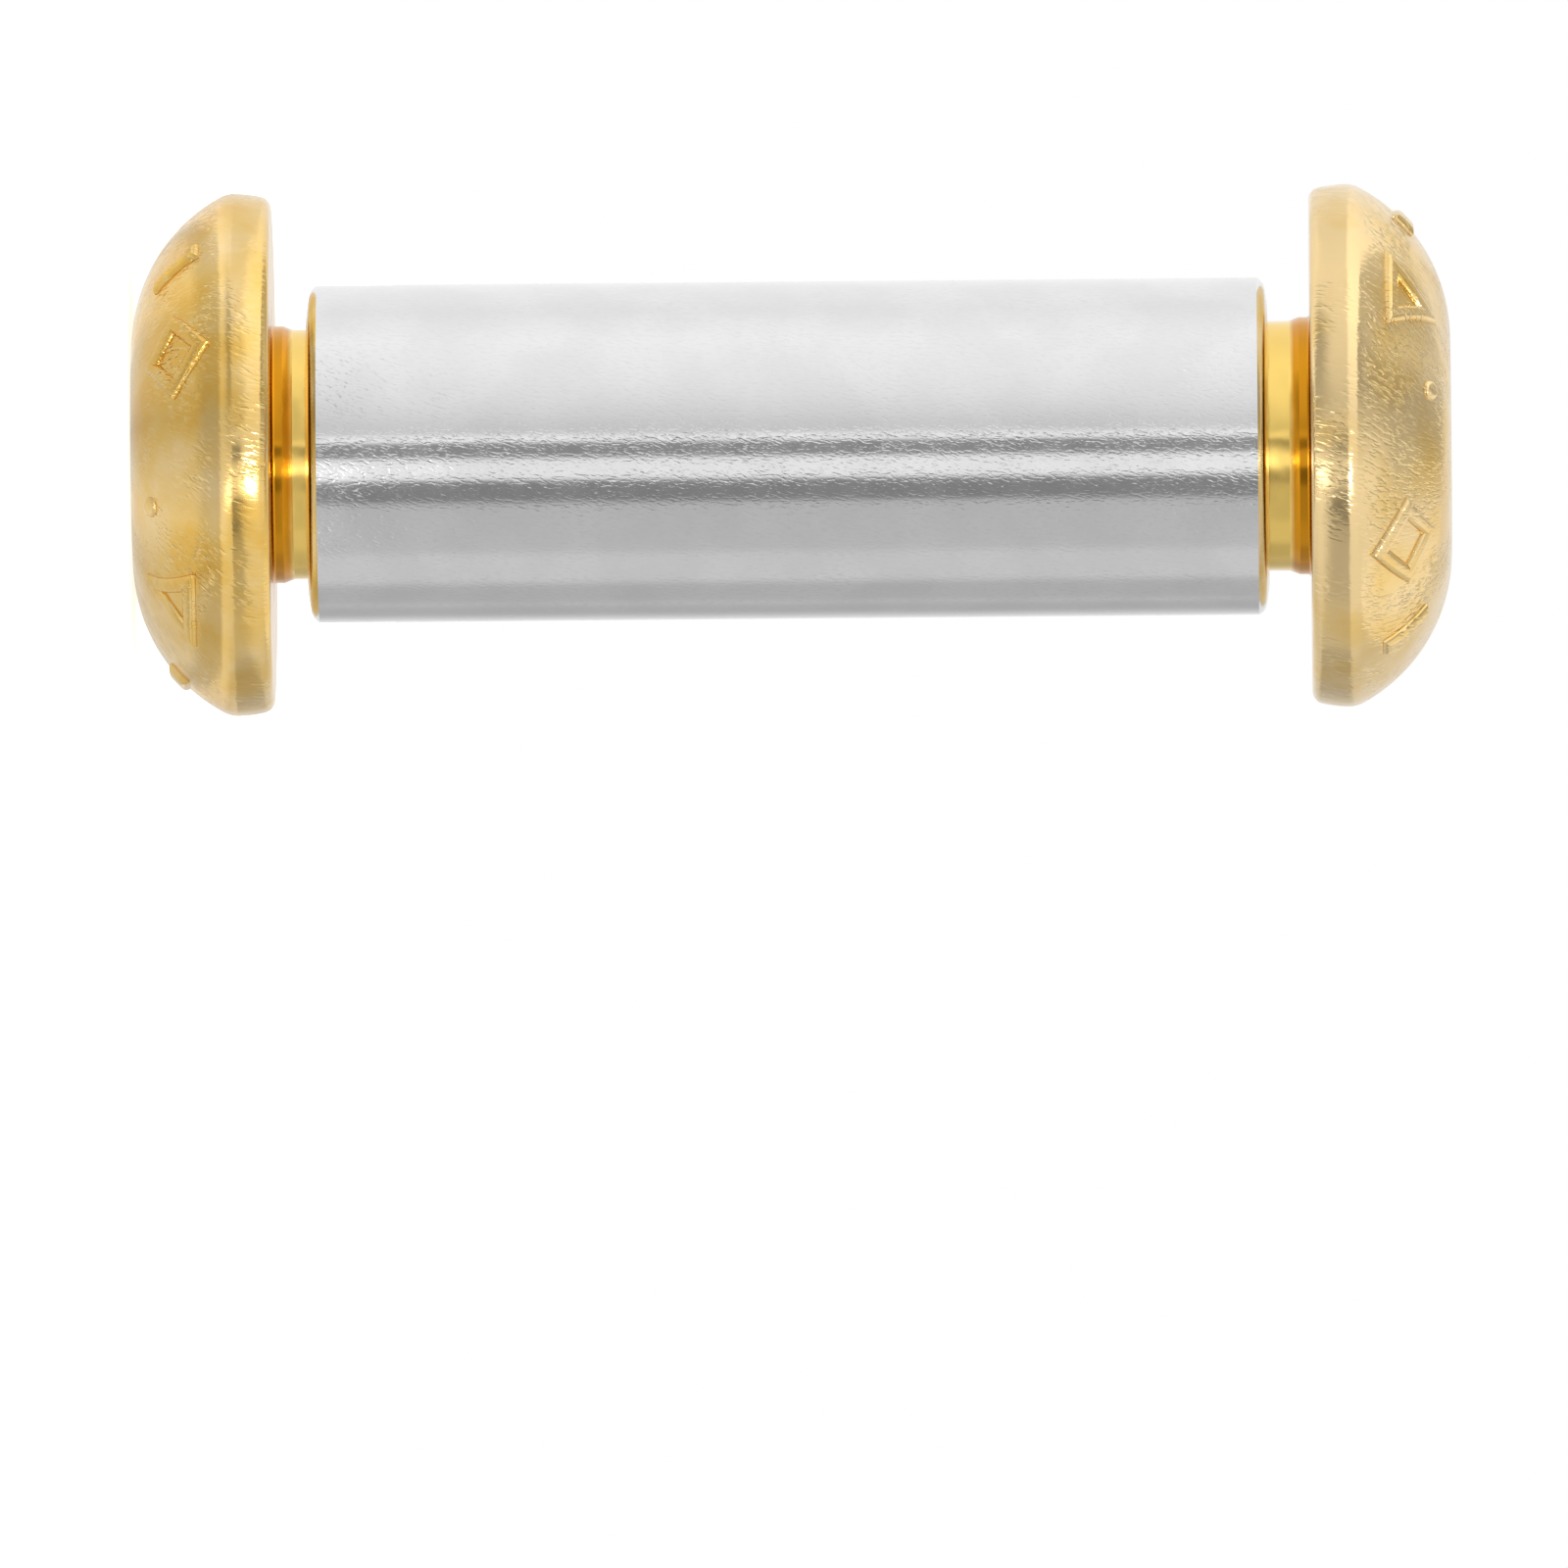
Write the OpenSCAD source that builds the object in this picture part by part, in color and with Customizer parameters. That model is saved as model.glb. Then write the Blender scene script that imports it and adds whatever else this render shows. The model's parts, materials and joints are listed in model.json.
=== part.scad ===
// Double-ended handle screw: a plain round sleeve, threaded inside, with a button-head
// screw in each end. A hex socket is sunk in each head, and both heads stand a little off
// the sleeve. The part stands on its lower head, with its axis along +Z and its origin at
// the centre of that head's flat end. All sizes are in millimetres and degrees.

/* [Sleeve] */
// Length of the sleeve, from tip to tip
sleeve_len = 17.1; // [14:0.1:30]
// Outside diameter of the sleeve
sleeve_d = 6; // [5.6:0.1:8]
// Wall of the sleeve, from its bore to its outside
sleeve_wall = 0.52; // [0.4:0.02:0.8]
// Slope of the sleeve's end faces, from square
end_slope = 9; // [5:1:25]
// Radius of the turned edge between an end face and the outside
end_edge_r = 0.16; // [0.05:0.01:0.2]
// Lead-in chamfer at each mouth of the bore
mouth_chamfer = 0.04; // [0.02:0.01:0.1]

/* [Thread] */
// Distance from one turn of the thread to the next
thread_pitch = 0.8; // [0.5:0.05:1]
// Radial clearance between the thread and the bore
thread_clearance = 0.03; // [0.02:0.01:0.08]

/* [Heads] */
// Diameter of a head, over the fullest part of its rim
head_d = 9.3; // [8.4:0.1:11]
// Height of a head, from its bearing face to its flat end
head_h = 2.5; // [2.2:0.05:3.2]
// Height of the rim, up to where the dome's arc would come to the full diameter
rim_h = 0.78; // [0.5:0.02:1.2]
// How far the rim draws in, from its top down to the bearing face
rim_draft = 0.1; // [0.02:0.01:0.2]
// Radius of the worn corner between the rim and the dome
rim_corner_r = 0.3; // [0.1:0.02:0.5]
// Radius of the edge between the rim and the bearing face
rim_edge_r = 0.22; // [0.05:0.01:0.4]

/* [Sockets] */
// Width of the hex socket, across its flats
socket_af = 3; // [2:0.1:3.2]
// Depth of the socket's six walls, below the flat end
socket_depth = 1.6; // [1:0.05:2]
// Depth of the cone in the socket's floor
socket_cone = 0.3; // [0.05:0.05:0.5]
// Lead-in round the socket's corners
socket_lead = 0.07; // [0.02:0.01:0.2]
// Slope of the lead-in, from square
lead_slope = 30; // [15:1:45]
// Width of the flat land round the socket's mouth
land_w = 0.1; // [0.05:0.05:0.4]

/* [Shanks] */
// Depth of the collar under a head, below the thread's outside
collar_depth = 0.13; // [0.05:0.01:0.2]
// Length of the collar
collar_len = 0.28; // [0.1:0.01:0.5]
// Depth of the plain neck, below the thread's outside
neck_depth = 0.26; // [0.2:0.01:0.4]
// Length of the shank from the bearing face to the end of the neck
neck_len = 1.2; // [0.9:0.05:2]
// Space left between the screws' tips when both heads are screwed home
tip_gap = 1.1; // [0.4:0.1:4]

/* [Assembly] */
// Gap between the lower head and the sleeve
lower_gap = 0.62; // [0.1:0.01:1.5]
// Gap between the upper head and the sleeve
upper_gap = 0.75; // [0.1:0.01:1.5]

/* [Hidden] */
$fn = 128;

// Straight steps along a head's dome, and along a small rounded edge
dome_steps = 20;
edge_steps = 6;
// How far a cut runs past the face it opens
overcut = 0.5;

// The collar steps down to the neck at 45 degrees
collar_taper = neck_depth - collar_depth;
// Depth of a metric thread, and the length over which it runs out at the neck
thread_depth = 0.613 * thread_pitch;
thread_runout = thread_pitch / 2;
shank_len = (sleeve_len - tip_gap) / 2;

sleeve_r = sleeve_d / 2;
bore_r = sleeve_r - sleeve_wall;
mouth_r = bore_r + mouth_chamfer;
// Outside radius of the screws' thread, and what is turned down from it
thread_r = bore_r - thread_clearance;
neck_r = thread_r - neck_depth;
collar_r = thread_r - collar_depth;
// Height at which the sleeve's turned edge meets its outside
end_edge_z = (end_edge_r + sin(end_slope) * (sleeve_r - end_edge_r - mouth_r)) / cos(end_slope);

head_r = head_d / 2;
socket_corner_r = socket_af / 2 / cos(30);
socket_mouth_r = socket_corner_r + socket_lead;
lead_depth = (socket_mouth_r - socket_af / 2) * tan(lead_slope);
flat_r = socket_mouth_r + land_w;
// The dome is one arc, tangent to the flat end, and dome_z is the height of its centre
dome_w = head_r - flat_r;
dome_h = head_h - rim_h;
dome_r = (dome_w * dome_w + dome_h * dome_h) / (2 * dome_h);
dome_z = head_h - dome_r;
// The rim's upper corner just reaches the full radius and touches the dome's arc from inside,
// so their centres lie the difference of the radii apart
corner_x = head_r - rim_corner_r;
corner_z = dome_z + sqrt(pow(dome_r - rim_corner_r, 2) - pow(corner_x - flat_r, 2));
dome_low_angle = atan2(corner_z - dome_z, corner_x - flat_r);
// Lean of the rim, and the middle of the rounded edge that touches it from below
rim_lean = atan(rim_draft / rim_h);
rim_edge_x = corner_x
    + ((rim_corner_r - rim_edge_r) - (corner_z - rim_edge_r) * sin(rim_lean)) / cos(rim_lean);

// Heights of the sleeve's lower tip and of the upper head's bearing face
sleeve_z = head_h + lower_gap;
upper_bearing_z = sleeve_z + sleeve_len + upper_gap;

// Points along a round stretch of a profile
function arc(centre, r, from, to, steps) = [
    for (i = [0 : steps])
        let (a = from + (to - from) * i / steps)
        centre + r * [cos(a), sin(a)]
];

// Points of an arc that carries on where the stretch before it ends
function arc_on(centre, r, from, to, steps) =
    arc(centre, r, from + (to - from) / steps, to, steps - 1);

// The sleeve's lower end, from the bore out to the outside
function sleeve_end() = concat(
    [[bore_r, mouth_chamfer], [mouth_r, 0]],
    arc([sleeve_r - end_edge_r, end_edge_z], end_edge_r, end_slope - 90, 0, edge_steps)
);

// The same points at the sleeve's upper end, in the opposite order
function at_upper_end(points) = [
    for (i = [len(points) - 1 : -1 : 0])
        [points[i].x, sleeve_len - points[i].y]
];

// Half section of a screw, with its bearing face at height 0 and its head above that
function shank_outline() = [
    [0, -shank_len],
    [thread_r - thread_depth, -shank_len],
    [thread_r, thread_depth - shank_len],
    [thread_r, -neck_len - thread_runout],
    [neck_r, -neck_len],
    [neck_r, -collar_len - collar_taper],
    [collar_r, -collar_len],
    [collar_r, 0]
];

function head_outline() = concat(
    arc([rim_edge_x, rim_edge_r], rim_edge_r, -90, -rim_lean, edge_steps),
    arc([corner_x, corner_z], rim_corner_r, -rim_lean, dome_low_angle, edge_steps),
    arc_on([flat_r, dome_z], dome_r, dome_low_angle, 90, dome_steps),
    [[0, head_h]]
);

// Hex socket, cut downwards from height 0
module socket() {
    translate([0, 0, -socket_depth])
        cylinder(h = socket_depth + overcut, r = socket_corner_r, $fn = 6);
    translate([0, 0, -socket_depth - socket_cone])
        cylinder(h = socket_cone, r1 = 0, r2 = socket_af / 2);
    translate([0, 0, -lead_depth])
        cylinder(h = lead_depth, r1 = socket_af / 2, r2 = socket_mouth_r);
}

module screw() {
    difference() {
        rotate_extrude()
            polygon(concat(shank_outline(), head_outline()));
        translate([0, 0, head_h])
            socket();
    }
}

// Steel tube, turned outside and threaded right through
module sleeve() {
    color([0.80, 0.81, 0.82])
        translate([0, 0, sleeve_z])
            rotate_extrude()
                polygon(concat(sleeve_end(), at_upper_end(sleeve_end())));
}

module lower_screw() {
    color([0.87, 0.72, 0.37])
        translate([0, 0, head_h])
            rotate([180, 0, 0])
                screw();
}

module upper_screw() {
    color([0.87, 0.72, 0.37])
        translate([0, 0, upper_bearing_z])
            screw();
}

sleeve();
lower_screw();
upper_screw();
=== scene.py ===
# %% [markdown]
# A handle screw is three pieces of metal. A plain steel sleeve is threaded inside, and a gold
# button-head screw goes into each end of it. This lesson builds all three on the lathe's own
# principle, an outline spun round an axis, and then gives each metal its finish.
# The frame comes first, because the main sizes and every place below are read from it.

# %% Load the frame
import json
import math
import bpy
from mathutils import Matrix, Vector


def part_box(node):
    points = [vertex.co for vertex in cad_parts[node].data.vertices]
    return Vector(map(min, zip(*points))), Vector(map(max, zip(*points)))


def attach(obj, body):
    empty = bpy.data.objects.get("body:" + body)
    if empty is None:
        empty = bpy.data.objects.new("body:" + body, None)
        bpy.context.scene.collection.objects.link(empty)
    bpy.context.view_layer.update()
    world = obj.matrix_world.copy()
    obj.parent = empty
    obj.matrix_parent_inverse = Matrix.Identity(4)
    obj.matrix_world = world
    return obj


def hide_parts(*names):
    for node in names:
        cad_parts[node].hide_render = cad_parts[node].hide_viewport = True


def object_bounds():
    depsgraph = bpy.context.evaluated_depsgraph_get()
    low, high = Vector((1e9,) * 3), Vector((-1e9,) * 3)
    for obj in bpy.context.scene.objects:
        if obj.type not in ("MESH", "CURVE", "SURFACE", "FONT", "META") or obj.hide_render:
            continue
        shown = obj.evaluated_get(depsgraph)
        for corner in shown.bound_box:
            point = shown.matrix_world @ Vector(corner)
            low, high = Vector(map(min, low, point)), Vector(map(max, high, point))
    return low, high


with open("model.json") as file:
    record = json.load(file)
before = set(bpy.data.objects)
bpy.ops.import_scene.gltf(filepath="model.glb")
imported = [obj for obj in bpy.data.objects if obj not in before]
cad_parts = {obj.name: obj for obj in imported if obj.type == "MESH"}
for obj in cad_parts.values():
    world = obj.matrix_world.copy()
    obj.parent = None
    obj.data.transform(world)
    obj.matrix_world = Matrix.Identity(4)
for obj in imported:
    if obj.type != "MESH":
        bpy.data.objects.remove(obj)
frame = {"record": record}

from types import SimpleNamespace

import bmesh
import bpy
from mathutils import Matrix, Vector

cad_low, cad_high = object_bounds()
print("they fill a box of", [round(s, 5) for s in cad_high - cad_low])

# %% [markdown]
# The modelling is done in millimetres, because these pieces are small and a screw is drawn in
# millimetres anyway. Each finished mesh is scaled to metres once. The heads' bearing faces are
# mounts in the frame's record, so the head height, the shank length and both places follow.

# %% Sizes from the frame, in millimetres
MM = 0.001


def node_box(node):
    low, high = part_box(node)
    return low / MM, high / MM


mount_z = {mount["name"]: mount["pos_m"][2] / MM for mount in frame["record"]["mounts"]}
lower_bearing_z = mount_z["lower_clamp_face"]
upper_bearing_z = mount_z["upper_clamp_face"]
lower_low, lower_high = node_box("lower_screw")
sleeve_low, sleeve_high = node_box("sleeve")

head_r = lower_high.x
head_h = lower_bearing_z - lower_low.z
shank_len = lower_high.z - lower_bearing_z
sleeve_r = sleeve_high.x
sleeve_len = sleeve_high.z - sleeve_low.z
print(f"head {2 * head_r:.2f} x {head_h:.2f} mm, shank {shank_len:.2f} mm long")
print(f"sleeve {2 * sleeve_r:.2f} x {sleeve_len:.2f} mm")

# %% [markdown]
# The outlines need round stretches, so a small helper gives points along an arc. A second one
# is the lathe: it draws the outline as a wire beside the Z axis and spins it a full turn.
# The seam of a full spin and the points on the axis are doubles, so they are merged.

# %% The lathe
SPIN_STEPS = 192
MERGE_DIST = 0.0005


def arc(centre_r, centre_z, radius, start_deg, end_deg, steps):
    turns = [math.radians(start_deg + (end_deg - start_deg) * i / steps) for i in range(steps + 1)]
    return [(centre_r + radius * math.cos(a), centre_z + radius * math.sin(a)) for a in turns]


def lathe(outline, closed=False):
    bm = bmesh.new()
    corners = [bm.verts.new((r, 0.0, z)) for r, z in outline]
    ends = corners[1:] + corners[:1] if closed else corners[1:]
    wires = [bm.edges.new(pair) for pair in zip(corners, ends)]
    bmesh.ops.spin(
        bm,
        geom=corners + wires,
        cent=(0, 0, 0),
        axis=(0, 0, 1),
        dvec=(0, 0, 0),
        angle=2 * math.pi,
        steps=SPIN_STEPS,
        use_merge=True,
    )
    bmesh.ops.remove_doubles(bm, verts=bm.verts, dist=MERGE_DIST)
    return bm


print("a turned piece has", SPIN_STEPS, "faces round")

# %% [markdown]
# A thread could be a texture, but it shows when a screw is drawn out, so it is a real ridge.
# A spin that also climbs along its axis is a helix. The ridge's section is swept that way, and
# its two ends are capped. A lathe then turns a thread down at its tip and lets it run out at
# the neck: here each point is brought in to the radius that the outline allows at its height.

# %% The thread's ridge
PITCH = 0.8
STEPS_PER_TURN = 96


def helical_ridge(section, start_z, end_z):
    bm = bmesh.new()
    corners = [bm.verts.new((r, 0.0, start_z + z)) for r, z in section]
    loop = [bm.edges.new(pair) for pair in zip(corners, corners[1:] + corners[:1])]
    steps = round((end_z - start_z) / PITCH * STEPS_PER_TURN)
    swept = bmesh.ops.spin(
        bm,
        geom=corners + loop,
        cent=(0, 0, 0),
        axis=(0, 0, 1),
        dvec=(0, 0, PITCH / STEPS_PER_TURN),
        angle=2 * math.pi * steps / STEPS_PER_TURN,
        steps=steps,
    )
    far_end = [g for g in swept["geom_last"] if isinstance(g, bmesh.types.BMEdge)]
    for rim in (loop, far_end):
        bmesh.ops.contextual_create(bm, geom=rim)
    return bm


def bring_to(bm, low_z, high_z, allowed_r):
    for v in bm.verts:
        v.co.z = min(max(v.co.z, low_z), high_z)
        r = v.co.xy.length
        v.co.xy *= allowed_r(r, v.co.z) / r


def append(bm, other):
    carrier = bpy.data.meshes.new("carrier")
    other.to_mesh(carrier)
    other.free()
    bm.from_mesh(carrier)
    bpy.data.meshes.remove(carrier)


print("the thread climbs", PITCH, "mm a turn")

# %% [markdown]
# The screw is drawn with its bearing face at height 0 and its head above. Its outline starts at
# the tip and goes up the thread's core, the neck and the collar, out along the bearing face,
# round the rim and over the dome to the mouth of the socket. The dome is one arc that leaves
# the flat land level, and the rim is a faintly bulged band that draws in to the bearing face.

# %% Sizes of a screw
THREAD_R, THREAD_DEPTH_SHARE = 2.45, 0.613
CORE_R = THREAD_R - THREAD_DEPTH_SHARE * PITCH
NECK_R, NECK_LEN = 2.22, 1.2
RUNOUT_LEN = PITCH / 2
COLLAR_R, COLLAR_LEN, COLLAR_STEP = 2.29, 0.20, 0.18
COLLAR_FILLET = 0.07
RIM_H, RIM_R, RIM_LEAN = 0.78, 2.5, math.radians(2)
RIM_CORNER_R, RIM_EDGE_R = 0.55, 0.22
SOCKET_AF, SOCKET_DEPTH, SOCKET_CONE = 3.0, 1.6, 0.3
SOCKET_LEAD, LEAD_SLOPE = 0.07, math.radians(30)
LAND_W = 0.10

socket_mouth_r = SOCKET_AF / 2 / math.cos(math.pi / 6) + SOCKET_LEAD
flat_r = socket_mouth_r + LAND_W
dome_w, dome_h = head_r - flat_r, head_h - RIM_H
dome_r = (dome_w**2 + dome_h**2) / (2 * dome_h)
dome_z = head_h - dome_r
print(f"dome radius {dome_r:.2f} mm, flat land to {flat_r:.2f} mm")

# %% [markdown]
# Tumbling wears the corner between the rim and the dome, so it is a small arc. It just reaches
# the head's full radius and touches the dome's circle from inside, so the distance between their
# centres is the difference of their radii. The rim's own arc goes on from that corner with a much
# larger radius, and a second small arc, which touches it in the same way, ends at the bearing face.

# %% The rim
corner_x = head_r - RIM_CORNER_R
corner_z = dome_z + math.sqrt((dome_r - RIM_CORNER_R) ** 2 - (corner_x - flat_r) ** 2)
dome_start = math.degrees(math.atan2(corner_z - dome_z, corner_x - flat_r))
rim_x = corner_x - (RIM_R - RIM_CORNER_R) * math.cos(RIM_LEAN)
rim_z = corner_z + (RIM_R - RIM_CORNER_R) * math.sin(RIM_LEAN)
rim_top = -math.degrees(RIM_LEAN)
edge_x = rim_x + math.sqrt((RIM_R - RIM_EDGE_R) ** 2 - (rim_z - RIM_EDGE_R) ** 2)
rim_end = math.degrees(math.atan2(RIM_EDGE_R - rim_z, edge_x - rim_x))
print(f"the rim is fullest {corner_z:.2f} mm above the bearing face")
print(f"it leans from {rim_top:.0f} to {rim_end:.0f} degrees, and the dome starts at {dome_start:.0f}")

# %% [markdown]
# The outline is a list of points, each a radius and a height. Straight stretches need only their
# ends. Beside the collar's fillet and the rim's edge a point stands a little way into the bearing
# face, so that the smooth shading of those small arcs doesn't spread over the flat ring.

# %% The screw's outline
FACE_GUARD = 0.04
TIP_EDGE = 0.05
FILLET_STEPS, ARC_STEPS, DOME_STEPS = 8, 10, 40


def screw_outline():
    shank = [
        (0, -shank_len),
        (CORE_R - TIP_EDGE, -shank_len),
        (CORE_R, TIP_EDGE - shank_len),
        (CORE_R, -NECK_LEN - RUNOUT_LEN),
        (NECK_R, -NECK_LEN),
        (NECK_R, -COLLAR_LEN - COLLAR_STEP),
        (COLLAR_R, -COLLAR_LEN),
    ]
    fillet = arc(COLLAR_R + COLLAR_FILLET, -COLLAR_FILLET, COLLAR_FILLET, 180, 90, FILLET_STEPS)
    bearing = [(COLLAR_R + COLLAR_FILLET + FACE_GUARD, 0), (edge_x - FACE_GUARD, 0)]
    edge = arc(edge_x, RIM_EDGE_R, RIM_EDGE_R, -90, rim_end, ARC_STEPS)
    rim = arc(rim_x, rim_z, RIM_R, rim_end, rim_top, ARC_STEPS)
    corner = arc(corner_x, corner_z, RIM_CORNER_R, rim_top, dome_start, ARC_STEPS)
    dome = arc(flat_r, dome_z, dome_r, dome_start, 90, DOME_STEPS)
    head = edge + rim[1:] + corner[1:] + dome[1:] + [(socket_mouth_r, head_h)]
    return shank + fillet + bearing + head


print("a screw's outline has", len(screw_outline()), "points")

# %% [markdown]
# The hex socket can't be spun, but it starts from the round mouth that the spin leaves open.
# Each step extrudes that ring of edges and sets the new ring's points: first down the sloped
# lead-in to the six walls, then down the walls, in to the floor and to the floor's point.
# The spin's steps are a multiple of six, so the hexagon's corners fall on ring points.

# %% The hex socket
SOCKET_FLOOR_SHARE = 0.97
SOCKET_FLOOR_R = SOCKET_FLOOR_SHARE * SOCKET_AF / 2


def new_verts(made):
    return [g for g in made["geom"] if isinstance(g, bmesh.types.BMVert)]


def extrude_ring(bm, ring, place):
    made = bmesh.ops.extrude_edge_only(bm, edges=ring)
    points = new_verts(made)
    for v in points:
        a = math.atan2(v.co.y, v.co.x)
        r, z = place(a)
        v.co = (r * math.cos(a), r * math.sin(a), z)
    edges = [g for g in made["geom"] if isinstance(g, bmesh.types.BMEdge)]
    return [e for e in edges if e.verts[0] in points and e.verts[1] in points]


def hex_radius(a):
    from_wall = a % (math.pi / 3) - math.pi / 6
    return SOCKET_AF / 2 / math.cos(from_wall)


def lead_in(a):
    drop = (socket_mouth_r - hex_radius(a)) * math.tan(LEAD_SLOPE)
    return hex_radius(a), head_h - drop


def sink_socket(bm):
    floor_z = head_h - SOCKET_DEPTH
    mouth = [e for e in bm.edges if e.is_boundary]
    ring = extrude_ring(bm, mouth, lead_in)
    ring = extrude_ring(bm, ring, lambda a: (hex_radius(a), floor_z))
    ring = extrude_ring(bm, ring, lambda a: (SOCKET_FLOOR_R, floor_z))
    centre = new_verts(bmesh.ops.extrude_edge_only(bm, edges=ring))
    bmesh.ops.pointmerge(bm, verts=centre, merge_co=(0, 0, floor_z - SOCKET_CONE))


print(f"the socket is {SOCKET_AF} mm across its flats, {hex_radius(0):.3f} mm to a corner")

# %% [markdown]
# Such heads are struck with a few small raised marks on the dome. Here they are plain shapes, a
# pad, a triangle, a dot, a lozenge and a bar. Each is made flat, given its height and a soft
# edge, and then laid on the dome: its width runs round the head, its length runs along the
# dome's arc, and its height goes out from the arc's centre.

# %% Flat marks
MARK_STROKE = 0.30
DOT_STEPS = 24


def flat_frame(corners, size):
    bm = bmesh.new()
    bmesh.ops.create_circle(bm, cap_ends=False, segments=corners, radius=size)
    inner = new_verts(bmesh.ops.extrude_edge_only(bm, edges=bm.edges[:]))
    shrink = 1 - MARK_STROKE / (size * math.cos(math.pi / corners))
    bmesh.ops.scale(bm, vec=(shrink, shrink, 1), verts=inner)
    return bm


def flat_bar(width, length):
    bm = bmesh.new()
    bmesh.ops.create_grid(bm, x_segments=1, y_segments=1, size=0.5)
    bmesh.ops.scale(bm, vec=(width, length, 1), verts=bm.verts)
    return bm


def flat_dot(radius):
    bm = bmesh.new()
    bmesh.ops.create_circle(bm, cap_ends=True, cap_tris=True, segments=DOT_STEPS, radius=radius)
    return bm


print("marks are drawn with a stroke of", MARK_STROKE, "mm")

# %% [markdown]
# A flat mark becomes a raised one in three steps: its face is lifted, the lifted edge is bevelled
# round, and everything is cut finer so that it can bend. The root below a mark sinks into the
# dome, so that no gap shows where the mark is flatter than the arc under it.

# %% Raised marks on the dome
MARK_HEIGHT, MARK_ROOT, MARK_EDGE = 0.10, 0.08, 0.13
MARK_CUTS, MARK_EDGE_STEPS = 3, 6
MARK_ALONG, DOT_HIGHER = math.radians(47), math.radians(14)


def raise_mark(bm):
    bmesh.ops.recalc_face_normals(bm, faces=bm.faces)
    made = bmesh.ops.extrude_face_region(bm, geom=bm.faces[:], use_keep_orig=True)
    bmesh.ops.translate(bm, vec=(0, 0, MARK_HEIGHT + MARK_ROOT), verts=new_verts(made))
    top = {g for g in made["geom"] if isinstance(g, bmesh.types.BMFace)}
    edge = {e for f in top for e in f.edges if any(g not in top for g in e.link_faces)}
    bmesh.ops.bevel(
        bm,
        geom=list(edge),
        offset=MARK_EDGE,
        offset_type="OFFSET",
        segments=MARK_EDGE_STEPS,
        profile=0.5,
        affect="EDGES",
        material=-1,
    )
    bmesh.ops.subdivide_edges(bm, edges=bm.edges[:], cuts=MARK_CUTS, use_grid_fill=True)
    return bm


def lay_on_dome(bm, turn_deg, along):
    mark_r = flat_r + dome_r * math.cos(along)
    for v in bm.verts:
        round_head = math.radians(turn_deg) + v.co.x / mark_r
        on_arc = along + v.co.y / dome_r
        out = dome_r + v.co.z - MARK_ROOT
        r = flat_r + out * math.cos(on_arc)
        v.co = (r * math.cos(round_head), r * math.sin(round_head), dome_z + out * math.sin(on_arc))
    return bm


def add_marks(bm, pad_turn):
    marks = [
        (flat_bar(1.0, 0.5), 0, MARK_ALONG),
        (flat_frame(3, 0.95), 43, MARK_ALONG),
        (flat_dot(0.19), 68, MARK_ALONG + DOT_HIGHER),
        (flat_frame(4, 0.85), 110, MARK_ALONG),
        (flat_bar(0.36, 1.15), 140, MARK_ALONG),
    ]
    for mark, turn, along in marks:
        append(bm, lay_on_dome(raise_mark(mark), pad_turn + turn, along))
    print(len(marks), "marks stand", MARK_HEIGHT, "mm proud of the dome")


print(f"marks sit {math.degrees(MARK_ALONG):.0f} degrees up the dome's arc")

# %% [markdown]
# Every finished mesh goes through the same last steps. It is turned to its place, scaled to
# metres and shaded smooth except at its sharp edges. The object itself stays at the origin,
# and it rides on the body whose CAD node it stands for.

# %% Finish a piece
SHARP_ANGLE = math.radians(20)


def finish_piece(bm, name, place):
    bmesh.ops.recalc_face_normals(bm, faces=bm.faces)
    bmesh.ops.transform(bm, matrix=Matrix.Scale(MM, 4) @ place, verts=bm.verts)
    mesh = bpy.data.meshes.new(name)
    bm.to_mesh(mesh)
    bm.free()
    mesh.shade_smooth()
    mesh.set_sharp_from_angle(angle=SHARP_ANGLE)
    piece = bpy.data.objects.new(name, mesh)
    bpy.context.scene.collection.objects.link(piece)
    triangles = sum(len(p.vertices) - 2 for p in mesh.polygons)
    print(name, "has", triangles, "triangles")
    return piece


print(f"edges sharper than {math.degrees(SHARP_ANGLE):.0f} degrees stay sharp")

# %% [markdown]
# A screw is the spun outline, the socket sunk in its mouth, the thread's ridge and the marks. The
# ridge's section is a blunt tooth that starts inside the core. The lower screw is the same screw
# turned over, and each has its marks turned to where they show.

# %% The two screws
RIDGE_ROOT = 0.08
RIDGE_BASE_HALF, RIDGE_CREST_HALF = 0.34, 0.05


def screw_thread():
    section = [
        (CORE_R - RIDGE_ROOT, -RIDGE_BASE_HALF),
        (THREAD_R, -RIDGE_CREST_HALF),
        (THREAD_R, RIDGE_CREST_HALF),
        (CORE_R - RIDGE_ROOT, RIDGE_BASE_HALF),
    ]

    def allowed(r, z):
        tip_chamfer = CORE_R + z + shank_len
        runout = NECK_R + (THREAD_R - NECK_R) * (-NECK_LEN - z) / RUNOUT_LEN
        return min(r, tip_chamfer, runout) - MERGE_DIST

    ridge = helical_ridge(section, -shank_len, -NECK_LEN)
    bring_to(ridge, TIP_EDGE - shank_len, -NECK_LEN, allowed)
    return ridge


def make_screw(name, place, pad_turn):
    bm = lathe(screw_outline())
    sink_socket(bm)
    append(bm, screw_thread())
    add_marks(bm, pad_turn)
    return finish_piece(bm, name, place)


LOWER_PAD_TURN, UPPER_PAD_TURN = 6, -174
lower_place = Matrix.Translation((0, 0, lower_bearing_z)) @ Matrix.Rotation(math.pi, 4, "X")
upper_place = Matrix.Translation((0, 0, upper_bearing_z))
lower_piece = make_screw("lower_gold_screw", lower_place, LOWER_PAD_TURN)
upper_piece = make_screw("upper_gold_screw", upper_place, UPPER_PAD_TURN)
for piece, node in ((lower_piece, "lower_screw"), (upper_piece, "upper_screw")):
    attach(piece, node)
    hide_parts(node)

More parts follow.
